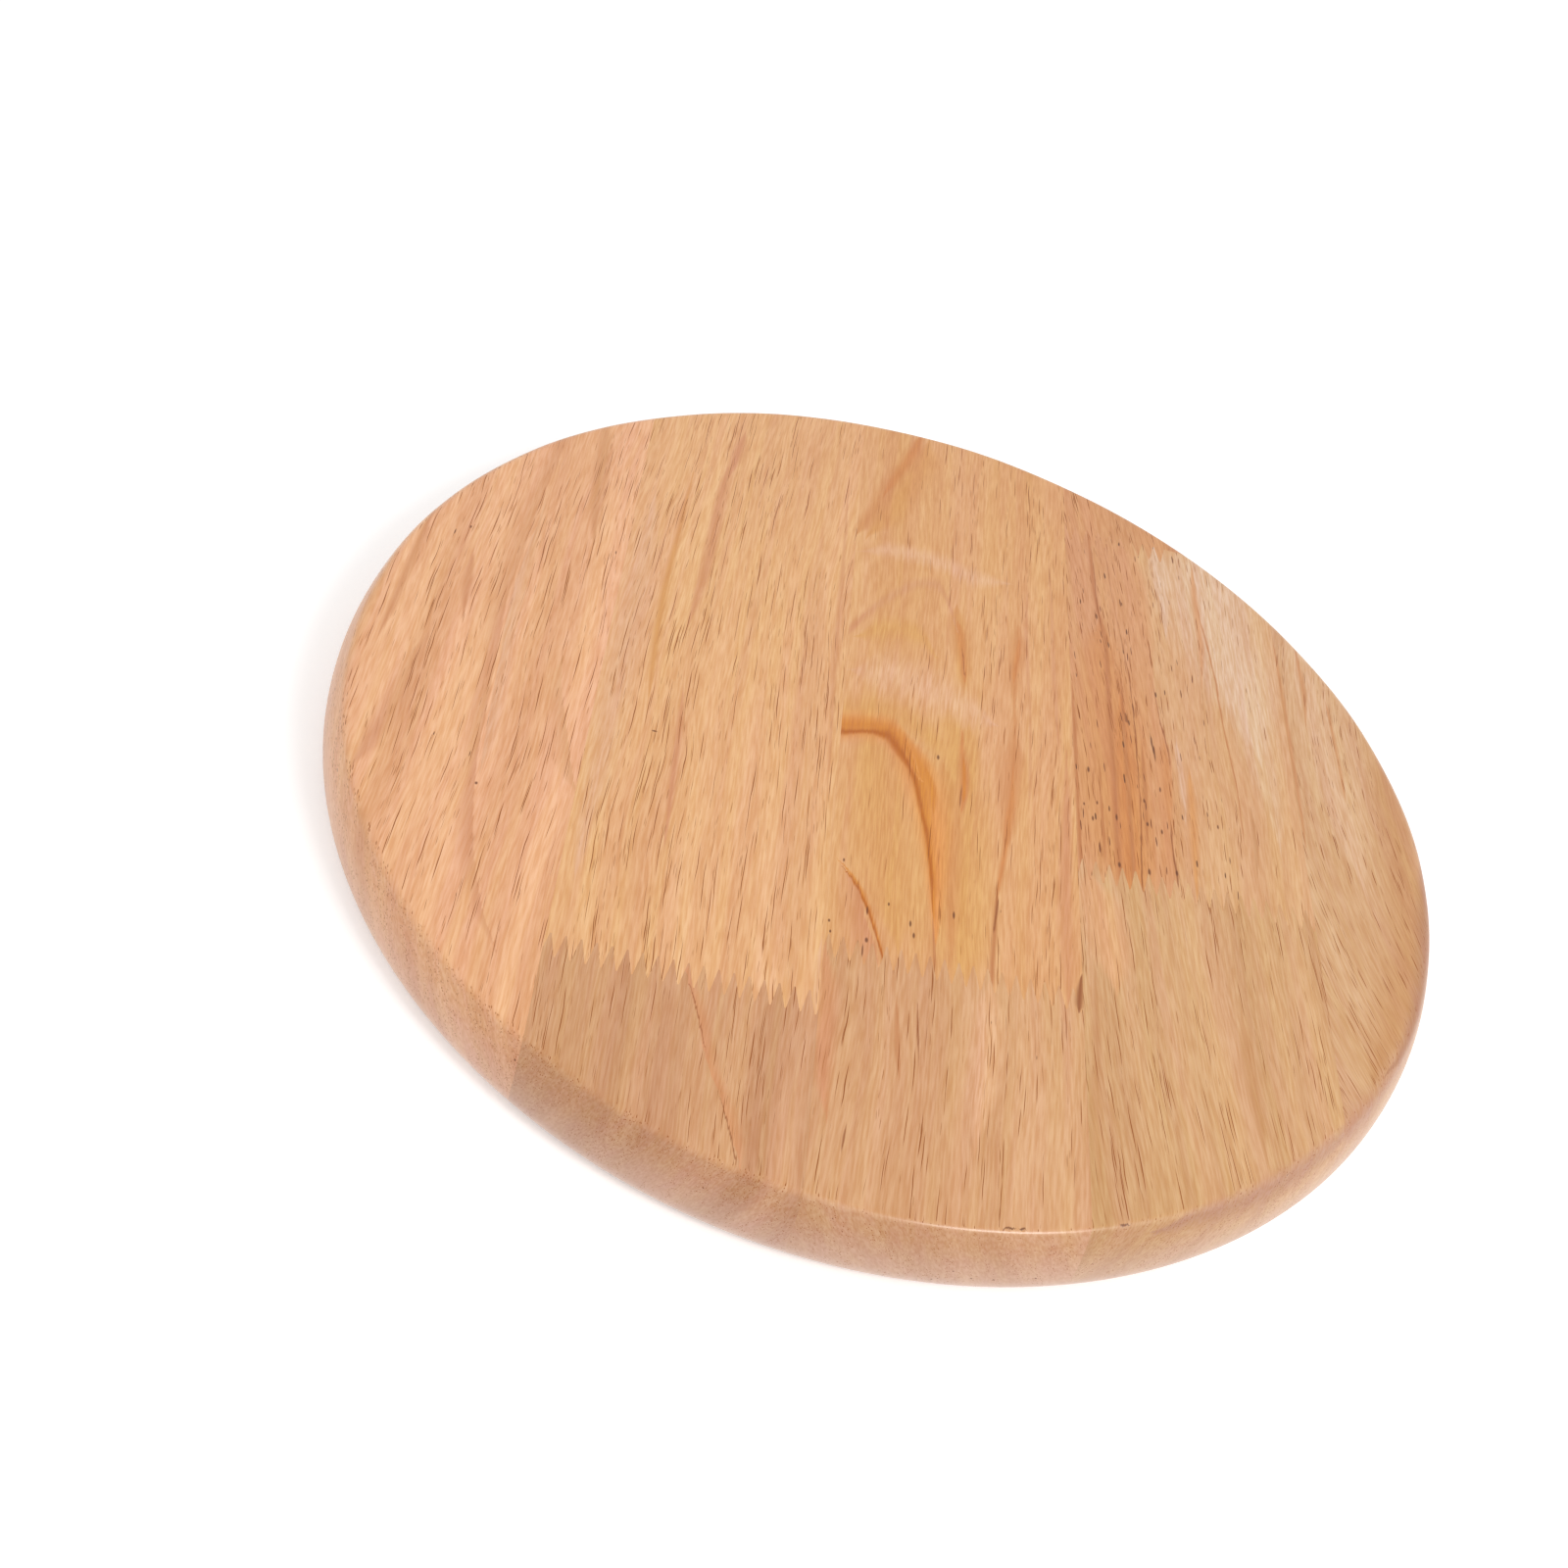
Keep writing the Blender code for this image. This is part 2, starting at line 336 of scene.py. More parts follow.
wood = {
    "roughness": 0.42,
    "endGrainRoughness": 0.50,
    "coat": 0.4,                    # the oil film, seen as a sheen where the side turns away
    "coatRoughness": 0.26,
    "shine": 0.2,                   # the wood's own shine under the film
    "endGrainTone": "E2E0EC",       # multiplies the wood's tone where the cut crosses the grain
    "paintedUnderSheen": "F2DCD2",          # painted sheen: where the side turns under, it is painted paler, standing in for the white floor's reflection
    "drift": ("FFFAEA", "FBEFEA"),  # multiply it from yellower to pinker patches
    "fibreTone": "EEDFCC",          # multiplies it along the darker fibres
    "poreDepth": 0.05,              # in mm
    "relief": 0.25,                 # strength of the pores' and fibres' relief
    "seedStep": (31.7, 47.3, 13.1),  # in mm, from the wood of one block to that of the next
    "waveSize": (35, 80, 30),       # the grain's slow waves, in mm
    "waveDetail": 2,
    "waveShift": (5, 0, 0.8),       # and how far they carry it, in mm
    "poreCrook": 0.55,              # how far a pore strays sideways, in mm
    "fray": (0.7, 1.6),             # how far the fibres carry a streak's edge across and along, in mm
    # Bands as (width, length and depth in mm, detail, step of the seed)
    "growthBand": (8, 200, 50, 3, 0),
    "fibreBand": (0.4, 7, 0.8, 2, 5),
    "driftBand": (3, 80, 6, 3, 7),
    "crowdBand": (1.8, 90, 8, 2, 9),
    "crookBand": (1.2, 8, 3, 1, 11),
    # Where between 0 and 1 a band's tones stand
    "growthStops": (0.35, 0.5, 0.65),
    "driftStops": (0.35, 0.65),
    "fibreStops": (0.35, 0.66),
    # Ranges, as a Map Range node takes them: from the values of 1 and 2 to those of 3 and 4
    "breakup": {1: 0.3, 2: 0.7, 3: 0.75, 4: 1.1},     # how much of a streak's tone each fibre takes
    "crowding": {1: 0.40, 2: 0.62, 3: 0.35, 4: 1.1},  # how many of its pores each band shows
    "markEdge": {1: 1.1, 2: 0.5, 3: 0, 4: 0.85},      # a mark's strength, from its rim inwards
    "paintedSheenByTurn": {1: 0.35, 2: -0.5, 3: 0, 4: 0.6},  # share of the painted sheen tone, as the side turns down
    "notFlat": {1: -1, 2: -0.8, 3: 0.2, 4: 1},        # which the flat underside takes less of
    # Where the near arris shines, by how far the surface looks up
    "arrisShine": [(0.5, "000000"), (0.65, "FFFFFF"), (0.9, "FFFFFF"), (0.98, "000000")],
    # Pores as (spacing, length, greatest radius as a share of both, share of cells, strength, tone)
    "longPores": (0.34, 28, 0.31, 0.80, 0.96, "944C00"),
    "shortPores": (0.30, 7, 0.28, 0.62, 0.62, "965204"),
    "flecks": (1.6, 9, 0.15, 0.25, 0.92, "5E300A"),
    "dashes": (0.8, 12, 0.17, 0.55, 0.98, "6C320A"),
    "endDots": (1.0, 5, 0.24, 0.40, 0.85, "6E3C18"),
}
# dusk and shade also darken bands along the right rim: partly the wood's own darker tone, partly painted
# shade where the rim turns from the light.
figureTones = {
    "cream": "E8CBB5", "bisque": "E3C0A0", "pale": "EBBF9C", "wheat": "E8B88D", "straw": "E3B171",
    "honey": "DEA668", "orange": "EAA45C", "rose": "DBA179", "blush": "E2AC86", "fawn": "DEA97E",
    "oat": "CFA072", "rimToneAndPaintedShade": "C69B80", "shade": "B88A6C", "tan": "D0986A", "apricot": "DA9E68",
    "copper": "D89458", "hazel": "C68756", "amber": "DA9036", "rust": "BE6C00", "brown": "9C5E30",
    "umber": "70401C", "bark": "66340C",
}

# Each block's own look. All lengths are in mm in the board's own frame.
# tones: from the darker to the paler growth bands
# lean: how far the pores step sideways for each mm along the board, at the block's left and right
# bow: how much that lean grows for each mm along
# dive: how steeply the fibres run down into the board, which shortens the pores that show
# slant: how the growth rings step sideways on their way down, as the end grain shows
# pores, flecks: how many there are, the pores at the block's left and right
# dashes: how many short dark dashes there are, where a block has them
# arrisCoat: the oil film's strength along the arris, where it differs
# streaks: (tone, how its edges fall off, path), with the path's points as (across, along, half width).
# The path's ends taper to nothing. The edges "sharpLow" and "sharpHigh" are crisp on the side of the
# lower or the higher coordinate, and "below" fills everything on the lower side.
# arches: streaks whose path runs across the board
# marks: the darkest single flecks, each as (across, along, half width, half length)

blockLooks = {
    "strip_1": {
        "tones": ["EAB68F", "F1BF99", "FACAA5"],
        "lean": (0.02, 0.03), "bow": 0, "dive": 0.008, "slant": 0.5, "pores": (1.0, 1.1), "flecks": 0.9,
        "streaks": [
            ("blush", "sharpHigh",
             [(-88, 95, 0), (-89, 82, 3), (-91, 60, 5), (-92, 40, 6), (-93, 20, 6), (-92, 0, 5),
              (-91, -20, 5), (-90, -35, 4), (-87, -55, 5), (-82, -72, 3), (-77, -85, 0.5)]),
            ("pale", "sharpLow", [(-90, 62, 0.3), (-92, 20, 4), (-91, 0, 4), (-90, -20, 4), (-89, -40, 0.5)]),
            ("blush", "soft",
             [(-107, 4, 0.3), (-108, -8, 3), (-109, -22, 4.5), (-112, -35, 3), (-114, -46, 0.3)]),
            ("rose", "soft", [(-103, 36, 0.3), (-102, 20, 2), (-101, 6, 0.3)]),
            ("wheat", "sharpHigh",
             [(-78, 6, 0.3), (-77, -5, 4), (-74, -18, 5), (-71, -30, 4), (-69, -38, 0.5)]),
            ("rose", "soft", [(-114, 50, 0.3), (-115, 30, 1.5), (-116, 10, 1.5), (-117, -8, 0.3)]),
            ("fawn", "soft", [(-81, 98, 0.3), (-80, 85, 3), (-78.5, 60, 2.6), (-77, 40, 0.3)]),
        ],
        "marks": [(-89.1, -39.5, 0.35, 0.5), (-105, 40, 0.3, 0.6)],
    },
    "strip_2_near": {
        "tones": ["D0A27C", "D8AB85", "DFB18D"],
        "lean": (-0.02, 0.03), "bow": 0, "dive": 0.015, "slant": -0.4, "pores": (1.0, 0.9), "flecks": 0.9,
        "streaks": [
            ("rose", "sharpLow",
             [(-43, -70, 0.5), (-41.3, -77, 2), (-38, -87, 3), (-35.5, -96, 3), (-32.5, -103, 3),
              (-29.5, -111, 3), (-27, -120, 2)]),
            ("brown", "soft", [(-42, -74, 0.1), (-39.5, -82, 0.24), (-36.5, -92, 0.2), (-35.5, -96, 0.1)]),
            ("brown", "soft",
             [(-33.5, -100, 0.1), (-31, -107, 0.26), (-28.5, -115, 0.28), (-27.6, -119, 0.1)]),
        ],
    },
    "strip_2_far": {
        "tones": ["E8B98B", "EEC091", "F3C79C"],
        "lean": (0.035, 0.015), "bow": 0.0003, "dive": 0.006, "slant": -0.4, "pores": (1.1, 1.3),
        "flecks": 0.7,
        "streaks": [
            ("wheat", "soft", [(-24, 80, 1), (-23, 30, 5), (-23, -20, 7), (-22, -60, 6), (-21, -85, 4)]),
            ("pale", "soft",
             [(-65.5, 75, 0), (-65, 50, 4), (-65, 20, 6), (-65.5, -10, 6), (-65.5, -30, 5), (-66, -50, 2),
              (-66, -62, 0)]),
            ("rose", "soft",
             [(-49, 92, 0.3), (-49.6, 75, 2), (-50.3, 50, 2.2), (-51.3, 35, 1.6), (-52.5, 18, 0.3)]),
            ("rose", "soft", [(-46, 106, 0.3), (-47, 94, 2.6), (-48.5, 80, 0.3)]),
            ("honey", "soft",
             [(-57, 95, 0.3), (-58, 60, 1), (-59, 30, 1.5), (-58.5, 8, 1.2), (-58, -8, 0.3)]),
            ("fawn", "soft",
             [(-18.5, 112, 0.3), (-18, 60, 0.9), (-18, 30, 1.3), (-17.5, 0, 0.7), (-17, -35, 0.3)]),
            ("rose", "soft", [(-51, 8, 0.2), (-50.5, -10, 1.3), (-50, -30, 1.1), (-49.5, -52, 0.2)]),
            ("pale", "sharpHigh",
             [(-15.7, -58, 0.3), (-15.7, -66, 1.6), (-15.7, -74, 1.8), (-15.7, -81, 1.2)]),
        ],
        "marks": [(-55.6, -12.6, 0.7, 0.3)],
    },
    "strip_3_near": {
        "tones": ["D7A980", "DDB188", "E3B891"],
        "lean": (0.06, 0.0), "bow": 0, "dive": 0.012, "slant": 0.5, "pores": (0.9, 0.75), "flecks": 1.1,
        "arrisCoat": 1.0,
        "streaks": [
            ("rose", "soft", [(-15, -58, 4), (-14, -75, 4), (-13.5, -92, 3), (-12, -108, 0.5)]),
            ("tan", "soft", [(0, -68, 0.2), (0.5, -82, 1.2), (1.5, -95, 0.2)]),
            ("pale", "soft", [(19, -60, 1), (19, -72, 5), (18, -90, 4), (16, -108, 0.5)]),
            ("brown", "soft", [(4.2, -66, 0.15), (4.6, -78, 0.35), (5, -92, 0.1)]),
            ("brown", "soft", [(-8.3, -102, 0.1), (-8.7, -107, 0.4), (-9, -112, 0.1)]),
            ("brown", "soft",
             [(39, -52, 0.1), (38.4, -56, 0.7), (38, -60, 1.5), (37.8, -62.5, 1.4), (37.6, -65.5, 0)]),
        ],
        "arches": [
            ("umber", "soft",
             [(21.9, -119.2, 0), (22.3, -119.1, 0.4), (23.3, -118.9, 0.4), (23.7, -118.8, 0)]),
            ("umber", "soft", [(24.6, -118.7, 0), (25, -118.6, 0.45), (26, -118.4, 0.45), (26.4, -118.3, 0)]),
        ],
    },
    "strip_3_far": {  # sawn near the tree's heart, so its growth rings show as arches
        "tones": ["E1AD79", "E6B583", "E9BA8B"],
        "lean": (0.02, 0.045), "bow": 0, "dive": 0.018, "slant": 0.3, "pores": (0.4, 1.1), "flecks": 1.1,
        "streaks": [
            ("straw", "soft",
             [(9, 20, 0), (10, 8, 7), (12, -8, 10), (13, -28, 11), (13, -50, 11), (12, -70, 8)]),
            ("straw", "soft", [(-8, 4, 1), (-7, -5, 9), (-5, -20, 11), (-3, -40, 11), (0, -62, 9)]),
            ("honey", "soft",
             [(8, 0, 0), (9, -8, 4), (9.8, -18, 4.5), (10.4, -32, 4.5), (10.8, -46, 3.5), (11, -60, 1)]),
            ("orange", "soft",
             [(-2, 10, 0), (-1.5, 4, 3.5), (-0.2, 0, 6), (1.8, -3.8, 7), (3, -8, 7), (4.2, -12, 6.8),
              (5.3, -17, 6.4), (6.2, -22, 5.8), (6.8, -28, 5), (7.3, -35, 4), (7.5, -42, 2.8),
              (7.6, -50, 1.4), (7.6, -58, 0)]),
            ("amber", "soft",
             [(-2, 8, 0), (-1.4, 4, 3), (0.2, 0, 5), (2.4, -4, 5.2), (3.2, -8, 4.2), (4, -13, 2.6),
              (4.8, -20, 2.2), (5.6, -28, 1.8), (6.6, -36, 1.4), (7, -44, 0.8), (7.2, -52, 0)]),
            ("amber", "soft", [(4, -3, 0), (5, -7, 1.5), (6, -11, 1.6), (6.2, -15, 1), (6.3, -20, 0)]),
            ("rust", "soft",
             [(-3.5, 2, 0), (-1.7, -1.2, 2.2), (0.1, -3.8, 2), (1.7, -8, 1.3), (3.5, -17, 1.0),
              (4.7, -23, 0.8), (5.9, -32, 0.7), (6.6, -42, 0.4), (7.1, -52, 0)]),
            ("hazel", "soft", [(6.8, -44, 0), (7.1, -52, 0.4), (7.4, -59, 0.5), (7.6, -68, 0.2)]),
            ("rose", "sharpHigh",
             [(-12, -39, 0.5), (-9, -45, 5), (-7.5, -52, 7), (-5, -60, 9), (-4, -68, 8)]),
            ("amber", "sharpLow",
             [(-14.5, -36, 0.2), (-12, -39.5, 0.8), (-9, -44, 1.4), (-7.5, -48, 1.5), (-6, -52, 1.2),
              (-4.7, -56, 0.9), (-3.5, -61, 0.6), (-2.6, -67, 0.2)]),
            ("rust", "soft",
             [(-13.5, -37.5, 0.1), (-10.5, -42, 0.6), (-8.4, -46, 0.7), (-6.6, -50.5, 0.6), (-5, -55.5, 0.4),
              (-3.5, -61, 0.4), (-2.8, -66, 0.1)]),
            ("honey", "soft", [(10.5, 56, 0), (10.8, 48, 4), (11.8, 40, 4), (12.5, 32, 3), (12.6, 20, 0)]),
            ("copper", "soft",
             [(10.8, 50, 0), (11.4, 45, 1.8), (12, 38, 1.6), (12.6, 31, 1.4), (12.8, 25, 0)]),
            ("brown", "soft", [(11.8, 42, 0), (12.2, 37, 0.25), (12.7, 31, 0.25), (12.9, 28, 0)]),
            ("straw", "soft", [(14, 16, 0), (14.2, 6, 3), (14.5, -2, 3), (14.2, -14, 0)]),
            ("copper", "soft", [(12.4, 14, 0), (12.5, 4, 1.2), (13, -3, 2), (13.1, -9, 1.8), (12.4, -18, 0)]),
            ("amber", "soft", [(12.6, 4, 0), (13, -3, 0.8), (13.1, -9, 0.8), (12.8, -14, 0)]),
            ("brown", "soft", [(12.5, -5, 0), (12.3, -11, 0.4), (12, -17, 0)]),
            ("apricot", "soft",
             [(26, 56, 0), (25.6, 43, 3), (25, 33, 2.2), (24.8, 22, 0.6), (24.8, 12, 1.4), (24.6, 2, 5),
              (24, -8, 4.4), (23, -18, 2.4), (22.4, -26, 1)]),
            ("copper", "soft", [(26.2, 50, 0), (25.8, 43, 1), (25, 36, 1), (24.6, 29, 0)]),
            ("copper", "soft",
             [(24.4, 10, 0), (24.2, -2, 0.6), (24, -8, 1.2), (23.2, -15, 1.4), (22.4, -24, 1.2),
              (21.3, -32, 0.9), (20.6, -38, 0.5), (20.3, -44, 0)]),
            ("hazel", "soft",
             [(20.8, -34, 0), (20.4, -40, 0.7), (20, -50, 1), (19.6, -58, 1), (19.5, -66, 0)]),
            ("brown", "soft", [(21, -36.5, 0), (20.6, -41, 0.5), (20.1, -46, 0.4), (19.9, -50, 0)]),
            ("honey", "soft", [(-13, 70, 2), (-8, 82, 6), (-4, 95, 8), (0, 108, 8), (2, 122, 6)]),
            ("apricot", "soft",
             [(-15.5, 71, 0.5), (-13.5, 78, 3.6), (-11, 85, 4), (-9, 92, 4), (-7, 98, 4.4), (-5, 104, 4),
              (-3, 110, 3.8), (-1, 116, 3.4), (0, 124, 2)]),
            ("copper", "soft",
             [(-9.5, 88, 0.1), (-7, 98, 1.8), (-5, 104, 2), (-3, 110, 2.2), (-1, 118, 1.6), (0, 124, 1)]),
            ("rose", "soft",
             [(37, 22, 0.3), (36.5, -10, 1.8), (36, -30, 2.8), (36, -50, 3.2), (35.5, -68, 2)]),
            ("fawn", "soft",
             [(28.5, 75, 0.1), (28, 50, 0.9), (28.5, 20, 0.6), (28.3, 0, 0.7), (27.8, -14, 0.1)]),
            ("fawn", "soft", [(34, 100, 0.1), (34.5, 60, 0.8), (34.7, 30, 1), (35.5, 0, 0.3)]),
            ("brown", "soft",
             [(39, -52, 0.1), (38.4, -56, 0.7), (38, -60, 1.5), (37.8, -62.5, 1.4), (37.6, -65.5, 0)]),
        ],
        "arches": [
            ("straw", "soft", [(-18, 6, 8), (-14, 8, 9), (-6, 10, 9), (2, 8, 8), (8, 3, 5), (13, -3, 0)]),
            ("pale", "soft", [(-16, 22, 10), (-5, 24, 12), (5, 22, 11), (15, 18, 8), (22, 15, 1)]),
            ("pale", "soft", [(-16, 66, 3), (-5, 70, 5), (5, 70, 5), (15, 67, 5), (26, 68, 1)]),
            ("straw", "soft", [(-15, 34, 3), (-8, 39, 6), (-2, 41, 6), (3, 39, 5), (7, 33, 2)]),
            ("fawn", "soft",
             [(-18, 34, 4), (-14.5, 38, 3.8), (-11, 44, 3.4), (-8, 49, 3.4), (-3, 55.5, 3.4), (1, 59.5, 3.4),
              (5, 60.5, 3.4), (8, 56, 3), (10, 49, 2), (11, 44, 0)]),
            ("rose", "soft", [(-18, 33, 3), (-15, 36.5, 3), (-13, 40, 2), (-11, 44, 0)]),
            ("orange", "soft",
             [(-21, 2, 7), (-16, 2.6, 7), (-12, 4, 7), (-8, 4.9, 7), (-5, 5, 7), (-2.5, 3, 7), (0, -0.5, 6),
              (2, -4.5, 4), (4, -9, 0)]),
            ("amber", "soft",
             [(-21, 2.2, 4.8), (-16, 2.8, 4.8), (-12, 4, 4.6), (-8, 5, 4.4), (-5, 5, 4.8), (-2.5, 3.4, 5.4),
              (-0.5, 0.6, 5), (1.5, -3.5, 3), (3.5, -8, 0)]),
            ("rust", "soft",
             [(-19, 0.6, 0), (-15.6, 0.8, 1.9), (-13.5, 1.4, 1.4), (-11, 2.4, 1.2), (-8, 3.2, 1.5),
              (-6, 3.4, 2.2), (-4, 2.3, 3.6), (-2.4, 0.3, 4), (-1, -2, 3.2), (0.3, -4.4, 1.8), (1.4, -7, 0)]),
        ],
        "marks": [(2.2, -51, 0.3, 1), (3, -54, 0.3, 0.9), (-2.5, -47, 0.25, 0.6), (11.3, -46, 0.3, 1.2),
                  (-12.5, -37.5, 0.25, 0.6), (7, 0, 0.35, 0.9), (-6.9, -50, 0.25, 1.4), (-6.7, -58, 0.4, 0.8),
                  (-14.6, -55, 0.3, 0.5), (-14.2, -57.8, 0.25, 0.5), (-7.4, -61, 0.2, 2)],
    },
    "strip_4_near": {
        "tones": ["D2A97C", "DAB287", "E0B88F"],
        "lean": (-0.01, -0.05), "bow": 0.0004, "dive": 0.01, "slant": -0.5, "pores": (0.8, 1.0),
        "flecks": 0.9, "arrisCoat": 1.0,
        "streaks": [
            ("wheat", "soft", [(41, -22, 2), (43, -34, 8), (45, -46, 7), (46, -60, 0)]),
            ("oat", "soft", [(41.5, -48, 0), (41.5, -62, 1.6), (40.5, -90, 2), (40.5, -110, 1)]),
            ("oat", "soft", [(73, -50, 0), (73.5, -70, 3), (75, -98, 2)]),
        ],
        "arches": [
            # Painted shade, with some of the wood's own tone: a darker band along the near right rim and
            # arris, where they turn from the light.
            ("rimToneAndPaintedShade", "soft",
             [(100, -75, 5), (90, -83.8, 5), (80, -93.4, 5), (70, -101, 4), (60, -107, 2.5), (50, -112, 0)]),
            ("umber", "soft", [(44.4, -113.2, 0), (44.8, -113, 0.4), (45.6, -112.7, 0.4), (46, -112.5, 0)]),
        ],
    },
    "strip_4_middle": {  # half heartwood, darker and striped up to a crisp line
        "tones": ["D8AC83", "DFB489", "E4BB92"],
        "lean": (-0.08, 0.0), "bow": 0, "dive": 0.03, "slant": 0.6, "pores": (1.4, 0.5), "flecks": 1.7,
        "dashes": 1.0,
        "streaks": [
            ("bisque", "soft",
             [(81, 72, 0), (82.5, 54, 11), (84.5, 36, 10), (85.5, 22, 7), (86.5, 10, 4), (87, -8, 0)]),
            ("cream", "soft",
             [(77, 108, 0), (77, 88, 21), (78, 70, 19), (80.8, 54, 16), (82.5, 44, 11), (84, 34, 6),
              (85, 20, 0)]),
            ("cream", "soft", [(62.5, 104, 0), (63.5, 94, 4), (64, 82, 3.2), (64, 70, 1.6), (64, 58, 0)]),
            ("cream", "soft", [(64, 28, 0), (64.3, 18, 1.2), (64.5, 8, 1.4), (64.6, -6, 0)]),
            ("fawn", "below",
             [(56.5, 102, 60), (58, 80, 50), (59, 60, 30), (59.5, 45, 10), (60.3, 33, 5), (61.5, 24, 4),
              (62.4, 17, 4), (61.8, 8, 5), (61.5, 0, 6), (61.1, -10, 8), (60.8, -20, 10), (60.5, -36, 10)]),
            ("apricot", "soft",
             [(47, 66, 0), (47, 50, 8), (49, 30, 14), (51, 10, 20), (51, -10, 20), (51, -36, 20)]),
            ("copper", "soft", [(51, 40, 0), (51, 20, 4), (51, 0, 5), (51, -20, 5), (51, -36, 4)]),
            ("fawn", "soft", [(57.5, 44, 0), (57.8, 20, 1.8), (57.8, 0, 2), (57.2, -22, 1), (57, -34, 0)]),
            ("hazel", "soft",
             [(44.8, 104, 0), (45.4, 90, 0.9), (45.8, 74, 0.8), (47, 63, 0.9), (48.2, 52, 1), (48, 30, 1.3),
              (48.3, 5, 1.2), (48, -10, 1.2), (48.3, -24, 1), (48.4, -34, 0)]),
            ("hazel", "soft", [(51.5, 56, 0), (51.3, 25, 0.9), (51.5, 0, 1.1), (51.3, -20, 1), (51, -34, 0)]),
            ("hazel", "soft",
             [(39.1, 44, 0), (39.2, 20, 0.8), (39.3, 0, 0.6), (39.4, -18, 0.8), (39.6, -34, 0)]),
            ("brown", "soft",
             [(45.6, 100, 0), (46, 84, 0.2), (46.6, 66, 0.25), (47.8, 52, 0.2), (48.2, 40, 0)]),
            ("brown", "soft",
             [(49.2, 98, 0), (49.8, 84, 0.2), (50.8, 70, 0.15), (52.4, 55, 0.2), (53.7, 40, 0.25),
              (54.1, 20, 0.3), (54.1, 5, 0.25), (53.8, -8, 0.3), (53.3, -20, 0.35), (53, -34, 0)]),
            ("hazel", "soft", [(55.4, 24, 0), (55.4, 8, 0.9), (55.2, -5, 0.8), (55.1, -18, 0)]),
            ("apricot", "soft", [(61, 26, 0), (61, 16, 1.8), (61, 6, 1.8), (60.8, 0, 1), (60.6, -8, 0)]),
            ("brown", "soft",
             [(59, 48, 0), (59.7, 40, 0.2), (60.3, 33, 0.25), (61.4, 24, 0.3), (62.1, 17, 0.2),
              (62.2, 8, 0)]),
            ("brown", "soft",
             [(61, 0, 0), (60.9, -8, 0.3), (61.1, -15, 0.5), (61.4, -20, 0.5), (61.5, -25, 0)]),
            ("umber", "soft", [(57.7, 27, 0), (58, 22, 0.35), (58.4, 18, 0.35), (58.5, 14, 0)]),
            ("umber", "soft", [(51.8, 30.5, 0), (52, 29, 0.5), (52.1, 27.6, 0.5), (52.2, 26, 0)]),
            ("hazel", "soft", [(44.8, 20, 0), (44.8, 4, 0.5), (44.9, -12, 0.5), (45, -26, 0)]),
            ("hazel", "soft",
             [(72.6, 100, 0), (72.8, 80, 0.35), (74.6, 64, 0.4), (75.8, 50, 0.4), (76.4, 36, 0.4),
              (77.4, 22, 0.3), (78.2, 8, 0.3), (78.2, -16, 0)]),
            ("honey", "soft",
             [(66.8, 20, 0), (66.6, 8, 1.4), (66.4, -4, 1.8), (66, -14, 1.4), (65.6, -30, 0)]),
            ("fawn", "soft", [(73, 98, 0), (72.7, 80, 1.6), (73, 65, 1.6), (72.5, 52, 0.6), (72, 40, 0)]),
            ("oat", "soft", [(81, 12, 0), (81, 0, 0.9), (80.8, -8, 0.8), (80.4, -18, 0)]),
        ],
        "marks": [(42.1, 7.7, 0.35, 1.1), (50.6, 8.3, 0.25, 0.9), (58.3, 19.6, 0.3, 1.6),
                  (55, 1.7, 0.25, 0.8), (59.1, 6.6, 0.25, 1), (48.2, -5.7, 0.3, 1.2), (55.4, -5.6, 0.35, 0.8),
                  (58.7, -7, 0.3, 0.9), (42.6, -7.8, 0.3, 0.9), (72.3, -1.2, 0.25, 0.8),
                  (48.2, -20.3, 0.4, 1), (55, -20.4, 0.4, 1.2), (61.4, -18.8, 0.35, 1),
                  (40.7, -3.8, 0.25, 0.6), (43.8, -2.5, 0.25, 0.7)],
    },
    "strip_4_far": {
        "tones": ["D6A173", "DCA679", "E2AC7F"],
        "lean": (-0.1, -0.05), "bow": 0, "dive": 0.03, "slant": 0.5, "pores": (1.1, 1.1), "flecks": 1.0,
        "streaks": [],
    },
    "strip_5": {
        "tones": ["D6AC85", "DAB38C", "DEB995"],
        "lean": (-0.13, -0.15), "bow": 0.0018, "dive": 0.03, "slant": -0.6, "pores": (0.9, 0.85),
        "flecks": 0.9,
        "streaks": [
            ("bisque", "soft", [(98, 86, 0), (99, 64, 8), (102, 36, 9), (105, 8, 7), (106, -14, 0)]),
            ("tan", "soft",
             [(92.8, 78, 0.3), (93.1, 50, 1.2), (93.2, 30, 1), (93.4, 10, 0.8), (93.2, -8, 0.2)]),
            ("tan", "soft", [(98.5, 78, 0.2), (99, 55, 1.2), (98, 35, 0.2)]),
            # The next three bands along the right rim are partly the wood's own darker tone and partly
            # painted shade: they darken the side and arris where they turn from the light, and dim the sheen
            # there.
            ("oat", "soft",
             [(121, 52, 0), (118, 34, 7), (117, 10, 9), (116, -14, 10), (112, -34, 9), (106, -52, 7),
              (100, -70, 4)]),
            ("rimToneAndPaintedShade", "soft",
             [(124, 14, 0), (123, 0, 2.5), (122, -14, 3), (119.3, -30, 3.5), (114, -46, 4), (106, -62, 5),
              (96, -77, 6), (88, -86, 7)]),
            ("shade", "soft",
             [(124, 14, 0), (122.5, -4, 4), (120.5, -16, 4.5), (118.4, -28, 4.5), (114.4, -42, 3.6),
              (108.8, -56, 2), (103, -66, 0)]),
            ("tan", "soft", [(104.5, 58, 0.2), (105, 40, 0.7), (105.3, 25, 0.7), (105.2, 14, 0.1)]),
        ],
    },
}


poreSpread = 0.3  # of a cell's chance, over which its pore grows from nothing to the greatest radius
poreEdge = 0.3    # of that radius, over which a pore reaches its full strength


